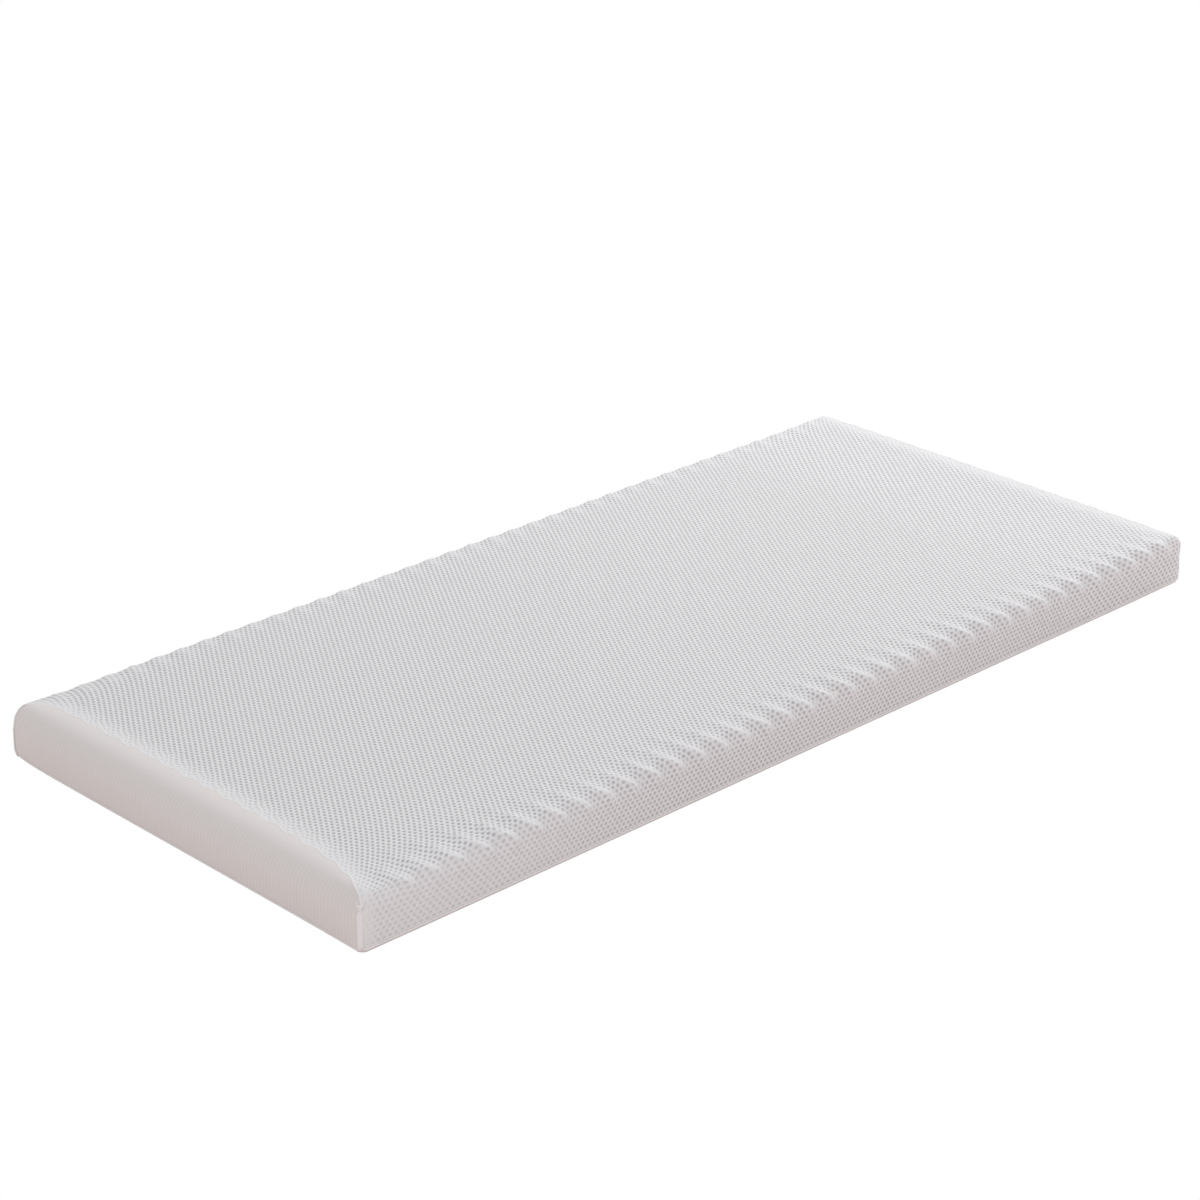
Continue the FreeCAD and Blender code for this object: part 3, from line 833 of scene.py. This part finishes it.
def makeKnit(look):
    # smooth polyester or cotton cloth: fine ribs that run up it, matt with a little sheen
    material, tree = startMaterial(look["name"])
    cloth = addNode(tree, "ShaderNodeUVMap", uv_map="cloth").outputs["UV"]
    place = addNode(tree, "ShaderNodeTexCoord").outputs["Object"]
    split = addNode(tree, "ShaderNodeSeparateXYZ", {"Vector": cloth})
    turns = addNode(tree, "ShaderNodeMath", {
        0: split.outputs["X"], 1: 2 * math.pi / look["rib"]}, operation="MULTIPLY").outputs[0]
    wave = addNode(tree, "ShaderNodeMath", {0: turns}, operation="SINE").outputs[0]
    fine = addNode(tree, "ShaderNodeTexNoise", {
        "Vector": place, "Scale": look["grain"], "Detail": 4.0, "Roughness": 0.6}).outputs["Fac"]
    ribs = addNode(tree, "ShaderNodeMath", {
        0: wave, 1: look["rise"] / 2, 2: look["rise"] / 2}, operation="MULTIPLY_ADD").outputs[0]
    rise = addNode(tree, "ShaderNodeMath", {0: fine, 1: 0.5, 2: ribs}, operation="MULTIPLY_ADD").outputs[0]
    # painted shade: the colour follows the height of the bump, darker in the hollows of the ribs and yarn,
    # over tone that differs at random from the noise
    share = addNode(tree, "ShaderNodeMapRange", {
        "Value": rise, "From Min": 0.1, "From Max": 0.9}, interpolation_type="SMOOTHSTEP").outputs["Result"]
    tint = addNode(tree, "ShaderNodeMix", {0: share, 6: colour(look["low"]), 7: colour(look["high"])},
                   data_type="RGBA").outputs[2]
    relief = addNode(tree, "ShaderNodeBump", {
        "Strength": 0.35, "Distance": 0.0006, "Height": rise}).outputs["Normal"]
    shader = addNode(tree, "ShaderNodeBsdfPrincipled", {
        "Base Color": tint, "Normal": relief, "Roughness": 0.88, "Specular IOR Level": 0.3,
        "Sheen Weight": 0.12, "Sheen Roughness": 0.5})
    addNode(tree, "ShaderNodeOutputMaterial", {"Surface": shader.outputs["BSDF"]})
    return material


# pores is how many cells lie in a metre, drawn coarser than the real ones so that they show
foamPatches = 60.0              # broad patches of tone, 17 mm
foams = {
    # the darker colour at the pores is painted shade, and skin is the colour of the cell walls
    "memory": {"name": "viscoelasticFoamConvoluted", "pores": 900.0, "poreShade": "#D8D2BE", "skin": "#ECE6D3"},
    "base": {"name": "polyurethaneFoamCut", "pores": 600.0, "poreShade": "#CFCFCB", "skin": "#E8E8E4"},
}


def makeFoam(look):
    # open-cell polyurethane foam, cut: matt, with fine pores
    material, tree = startMaterial(look["name"])
    place = addNode(tree, "ShaderNodeTexCoord").outputs["Object"]
    pores = addNode(tree, "ShaderNodeTexVoronoi", {
        "Vector": place, "Scale": look["pores"]}).outputs["Distance"]
    grain = addNode(tree, "ShaderNodeTexNoise", {
        "Vector": place, "Scale": foamPatches, "Detail": 3.0}).outputs["Fac"]
    # painted shade: darker at the pores, with broad patches of tone that differ at random
    rise = addNode(tree, "ShaderNodeMath", {0: grain, 1: 0.4, 2: pores}, operation="MULTIPLY_ADD").outputs[0]
    tint = addNode(tree, "ShaderNodeMix", {0: rise, 6: colour(look["poreShade"]), 7: colour(look["skin"])},
                   data_type="RGBA").outputs[2]
    relief = addNode(tree, "ShaderNodeBump", {
        "Strength": 0.5, "Distance": 0.0005, "Height": rise}).outputs["Normal"]
    shader = addNode(tree, "ShaderNodeBsdfPrincipled", {
        "Base Color": tint, "Normal": relief, "Roughness": 0.95})
    addNode(tree, "ShaderNodeOutputMaterial", {"Surface": shader.outputs["BSDF"]})
    return material


zinc = {"worn": "#A9AAAC", "plated": "#C6C7C8", "grain": 400.0}      # patches of wear, 2.5 mm


def makeZinc():
    # zinc alloy, die-cast and nickel plated: grey, with soft broad highlights
    material, tree = startMaterial("zincAlloyCastPlated")
    place = addNode(tree, "ShaderNodeTexCoord").outputs["Object"]
    wear = addNode(tree, "ShaderNodeTexNoise", {
        "Vector": place, "Scale": zinc["grain"], "Detail": 4.0}).outputs["Fac"]
    tint = addNode(tree, "ShaderNodeMix", {0: wear, 6: colour(zinc["worn"]), 7: colour(zinc["plated"])},
                   data_type="RGBA").outputs[2]
    rough = addNode(tree, "ShaderNodeMapRange", {
        "Value": wear, "From Min": 0.3, "From Max": 0.7, "To Min": 0.42, "To Max": 0.28}).outputs["Result"]
    shader = addNode(tree, "ShaderNodeBsdfPrincipled", {
        "Base Color": tint, "Roughness": rough, "Metallic": 1.0})
    addNode(tree, "ShaderNodeOutputMaterial", {"Surface": shader.outputs["BSDF"]})
    return material


nylon = {"low": "#CBC9C8", "high": "#E2E0DE", "grain": 900.0}        # slight changes of tone, 1.1 mm


def makeNylon():
    # nylon monofilament, drawn: pale and smooth, with a small sharp highlight
    material, tree = startMaterial("nylonMonofilamentDrawn")
    place = addNode(tree, "ShaderNodeTexCoord").outputs["Object"]
    grain = addNode(tree, "ShaderNodeTexNoise", {
        "Vector": place, "Scale": nylon["grain"], "Detail": 2.0}).outputs["Fac"]
    tint = addNode(tree, "ShaderNodeMix", {0: grain, 6: colour(nylon["low"]), 7: colour(nylon["high"])},
                   data_type="RGBA").outputs[2]
    shader = addNode(tree, "ShaderNodeBsdfPrincipled", {
        "Base Color": tint, "Roughness": 0.35, "IOR": 1.53})
    addNode(tree, "ShaderNodeOutputMaterial", {"Surface": shader.outputs["BSDF"]})
    return material


meshKnit = makeSpacerMesh()
endKnit = makeKnit(knits["endKnit"])
baseKnit = makeKnit(knits["baseKnit"])
seamKnit = makeKnit(knits["seamKnit"])
linerKnit = makeKnit(knits["linerKnit"])
tapeKnit = makeKnit(knits["tapeKnit"])
memoryMaterial = makeFoam(foams["memory"])
baseMaterial = makeFoam(foams["base"])
zincMaterial = makeZinc()
nylonMaterial = makeNylon()
print("materials made")

for piece, material, slotName, replaced in (
        (meshCover, meshKnit, "mesh_knit", ["mesh_cover"]),
        (footPanel, endKnit, "end_knit", ["foot_end_panel"]),
        (headUpper, endKnit, "end_knit", ["head_panel_upper"]),
        (headLower, endKnit, "end_knit", ["head_panel_lower"]),
        (basePanel, baseKnit, "base_knit", ["base_panel"]),
        (footSeam, seamKnit, "seam_roll", ["foot_seam"]),
        (headSeam, seamKnit, "seam_roll", ["head_seam"]),
        (baseSeam, seamKnit, "seam_roll", ["base_seam"]),
        (cornerTuft, seamKnit, "seam_roll", []),
        (liner, linerKnit, "liner_knit", ["core_sleeve"]),
        (memoryFoam, memoryMaterial, "memory_foam", ["memory_foam_layer"]),
        (baseFoam, baseMaterial, "base_foam", ["base_foam_layer"]),
        (coilUpper, nylonMaterial, "zip_coil", ["zip_coil_upper"]),
        (coilLower, nylonMaterial, "zip_coil", ["zip_coil_lower"])):
    piece.data.materials.clear()
    piece.data.materials.append(material)
    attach(piece, "mattress")
    if replaced:
        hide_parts(*replaced)

metalEdge = 0.0002              # the cast edges' rounding
for nodeName, material in (("zip_tape_upper", tapeKnit), ("zip_tape_lower", tapeKnit),
                           ("zip_closed_stop", zincMaterial), ("zip_open_stop", zincMaterial),
                           ("zip_slider", zincMaterial), ("zip_pull_tab", zincMaterial)):
    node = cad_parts[nodeName]
    node.data.materials.clear()
    node.data.materials.append(material)
    if material is zincMaterial:
        edge = node.modifiers.new("edge", "BEVEL")
        edge.width = metalEdge
        edge.segments = 2
        edge.limit_method = "ANGLE"

print("pieces placed on their bodies")

stageLook = {
    "sky": 0.65,
    "floor": "#F2E4E2",
    "floorSize": 12.0,
    "floorDrop": 0.0004,
    "keyPlace": (3.6, 1.5, 3.3),
    "keySize": 2.0,
    "keyShare": 0.31,           # of a full white on a level surface
    "fillPlace": (1.6, -3.8, 5.0),
    "fillSize": 3.0,
    "fillShare": 0.17,
    "footPlace": (-6.4, -2.2, 1.7),
    "footSize": 2.4,
    "footShare": 0.030,
}


def onlySeen(tree, seen, unseen):
    # the camera, glossy and clear surfaces meet one shader, and all other light the second
    path = addNode(tree, "ShaderNodeLightPath")
    first = addNode(tree, "ShaderNodeMath", {
        0: path.outputs["Is Camera Ray"], 1: path.outputs["Is Glossy Ray"]}, operation="MAXIMUM").outputs[0]
    either = addNode(tree, "ShaderNodeMath", {
        0: first, 1: path.outputs["Is Transmission Ray"]}, operation="MAXIMUM").outputs[0]
    return addNode(tree, "ShaderNodeMixShader", {0: either, 1: unseen, 2: seen}).outputs[0]


def buildStage():
    # a pale floor and an even sky, white to the camera, which light the mattress softly
    look = stageLook
    size = look["floorSize"]
    white = (1, 1, 1, 1)
    mesh = bpy.data.meshes.new("studioFloor")
    corners = [(-size, -size, 0), (size, -size, 0), (size, size, 0), (-size, size, 0)]
    mesh.from_pydata(corners, [], [(0, 1, 2, 3)])
    floor = bpy.data.objects.new("studioFloor", mesh)
    floor.location.z = -look["floorDrop"]
    bpy.context.scene.collection.objects.link(floor)
    material, tree = startMaterial("paperSweepPainted")
    seen = addNode(tree, "ShaderNodeEmission", {"Color": white}).outputs[0]
    matt = addNode(tree, "ShaderNodeBsdfDiffuse", {"Color": colour(look["floor"])}).outputs[0]
    addNode(tree, "ShaderNodeOutputMaterial", {"Surface": onlySeen(tree, seen, matt)})
    floor.data.materials.append(material)

    world = bpy.data.worlds.new("studio")
    bpy.context.scene.world = world
    world.use_nodes = True
    tree = world.node_tree
    tree.nodes.clear()
    seen = addNode(tree, "ShaderNodeBackground", {"Color": white}).outputs[0]
    soft = addNode(tree, "ShaderNodeBackground", {"Color": white, "Strength": look["sky"]}).outputs[0]
    addNode(tree, "ShaderNodeOutputWorld", {"Surface": onlySeen(tree, seen, soft)})


def addLamp(name, place, target, size, share):
    # an area lamp that gives a level surface at the target that share of a full white
    lamp = bpy.data.lights.new(name, "AREA")
    lamp.shape = "DISK"
    lamp.size = size
    way = Vector(target) - Vector(place)
    lamp.energy = share * math.pi * math.pi * way.length_squared * way.length / abs(way.z)
    rig = bpy.data.objects.new(name, lamp)
    rig.location = place
    rig.rotation_euler = way.to_track_quat("-Z", "Y").to_euler()
    bpy.context.scene.collection.objects.link(rig)


buildStage()
addLamp("keySoftbox", stageLook["keyPlace"], (0, 0, height), stageLook["keySize"], stageLook["keyShare"])
addLamp("fillSoftbox", stageLook["fillPlace"], (0, 0, height), stageLook["fillSize"], stageLook["fillShare"])
addLamp("footSoftbox", stageLook["footPlace"], (0, 0, height), stageLook["footSize"], stageLook["footShare"])

view = {
    "place": (-3.5993, -3.6576, 2.4010),
    "yaw": 43.92,
    "pitch": 23.884,
    "lens": 96.14,
    "sensor": 36.0,
}
cameraData = bpy.data.cameras.new("camera")
cameraData.lens = view["lens"]
cameraData.sensor_width = view["sensor"]
camera = bpy.data.objects.new("camera", cameraData)
camera.location = view["place"]
camera.rotation_euler = (math.radians(90 - view["pitch"]), 0, -math.radians(view["yaw"]))
bpy.context.scene.collection.objects.link(camera)
bpy.context.scene.camera = camera
bpy.context.scene.view_settings.view_transform = "Standard"
print("stage, lamps and camera set")
